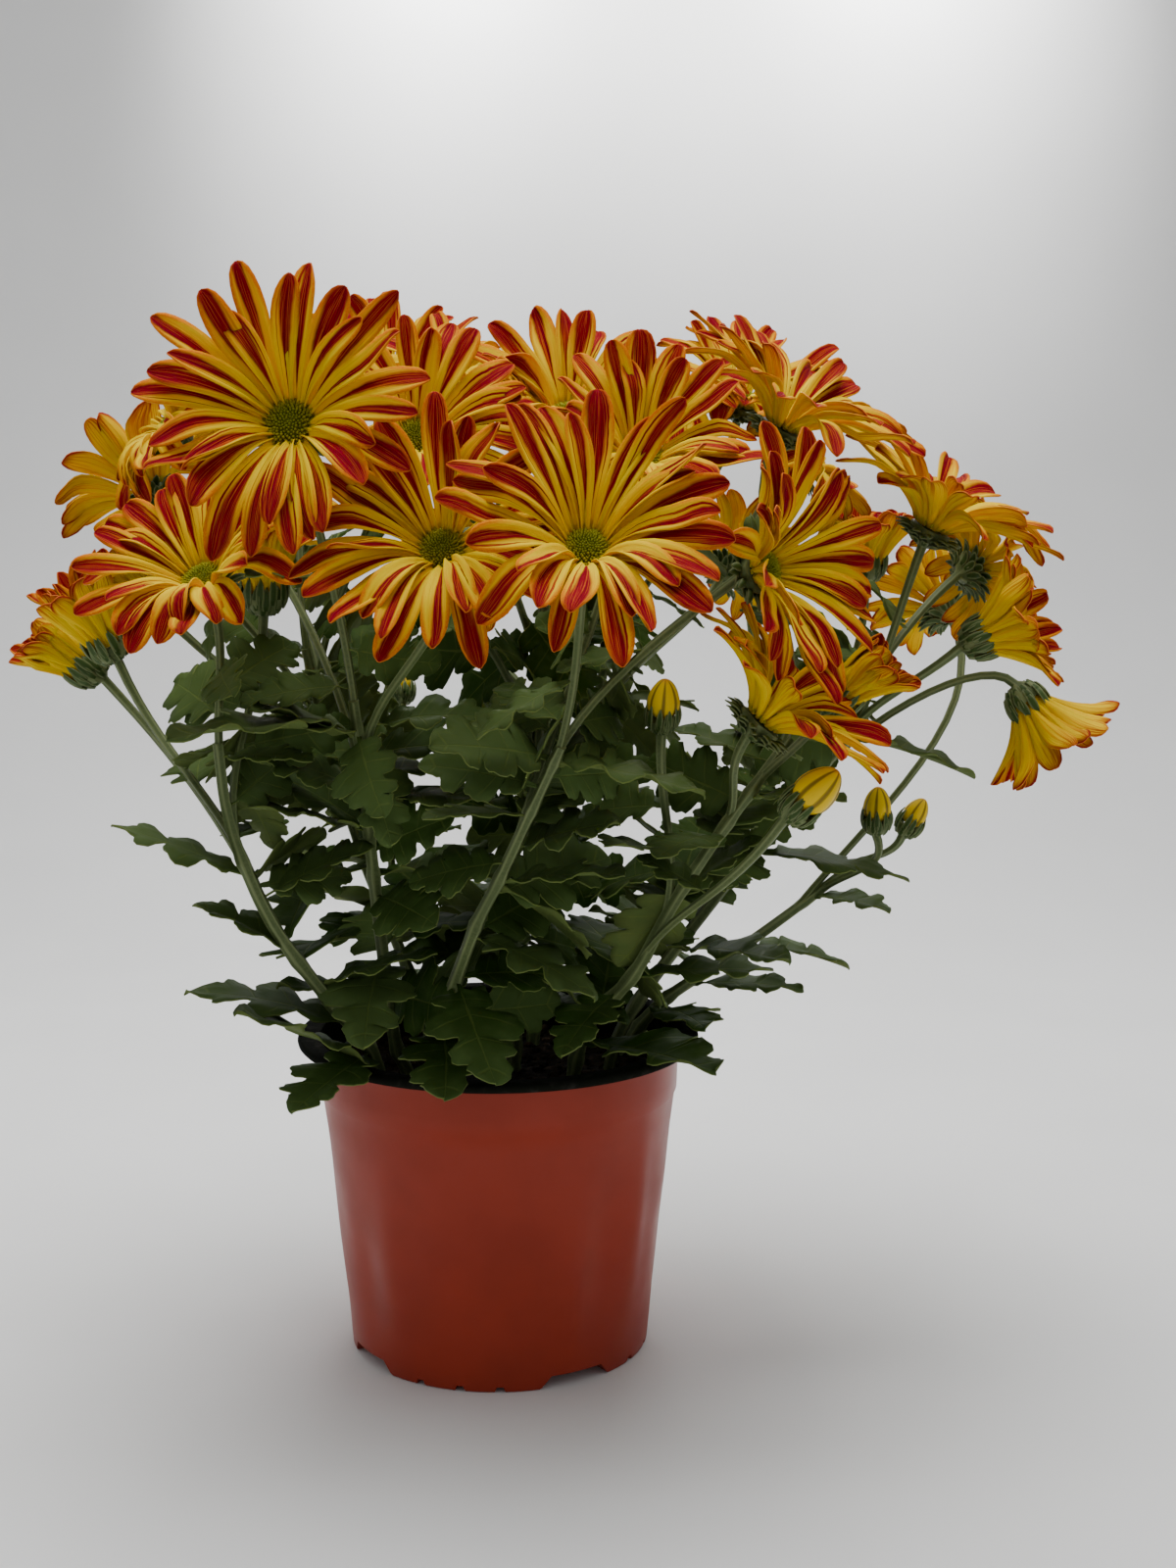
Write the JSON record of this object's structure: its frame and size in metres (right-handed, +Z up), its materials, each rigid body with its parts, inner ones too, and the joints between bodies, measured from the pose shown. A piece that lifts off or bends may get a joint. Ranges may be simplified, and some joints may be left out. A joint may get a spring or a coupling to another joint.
{
  "type": "potted chrysanthemum",
  "caption": "Flowering house plant in a thin plastic pot: leafy canes carry yellow daisy flowers striped with red above a soil-filled pot.",
  "frame": {"origin": "middle of the pot's base, on the surface that the pot stands on", "axes": "+Z up along the pot's axis, -Y towards the side with the largest blooms, +X to the right when seen from there"},
  "size_m": [0.4076, 0.3492, 0.3941],
  "materials": {
    "pot": "satin terracotta outside, black lip and inside",
    "soil": "dark moist peat mix, rough",
    "foliage": "soft dark green leaves and grey-green ribbed stems",
    "rays": "satin yellow petals striped with crimson, golden underneath",
    "opening_rays": "satin golden petals, still closed, with red edges",
    "disc": "green-gold florets, finely bumpy"
  },
  "bodies": {
    "root": {"bloom_01_disc": "disc", "bloom_01_rays": "rays", "bloom_02_disc": "disc", "bloom_02_rays": "rays", "bloom_03_disc": "disc", "bloom_03_rays": "rays", "bloom_04_disc": "disc", "bloom_04_rays": "rays", "bloom_05_disc": "disc", "bloom_05_rays": "rays", "bloom_06_disc": "disc", "bloom_06_rays": "rays", "bloom_07_disc": "disc", "bloom_07_rays": "rays", "bloom_08_disc": "disc", "bloom_08_rays": "rays", "bloom_09_disc": "disc", "bloom_09_rays": "rays", "bloom_10_disc": "disc", "bloom_10_rays": "rays", "bloom_11": "rays", "bloom_12": "rays", "bloom_13": "rays", "bloom_14": "rays", "bloom_15": "rays", "bloom_16": "rays", "bloom_17": "rays", "bloom_18": "rays", "bloom_19": "rays", "bloom_20": "rays", "bloom_21": "rays", "bloom_22": "rays", "bloom_23": "rays", "bloom_24": "rays", "bloom_25": "rays", "bloom_26": "rays", "bloom_27": "rays", "bud_01": "opening_rays", "bud_02": "opening_rays", "bud_03": "opening_rays", "bud_04": "opening_rays", "bud_05": "opening_rays", "cane_back": "foliage", "cane_back_left": "foliage", "cane_front": "foliage", "cane_front_left": "foliage", "cane_front_right": "foliage", "cane_left": "foliage", "cane_low_right": "foliage", "cane_middle": "foliage", "cane_right": "foliage", "opening_01": "opening_rays", "opening_02": "opening_rays", "opening_03": "opening_rays", "opening_04": "opening_rays", "opening_05": "opening_rays", "opening_06": "opening_rays", "opening_07": "opening_rays", "pot": "pot", "soil": "soil"}
  },
  "joints": []
}
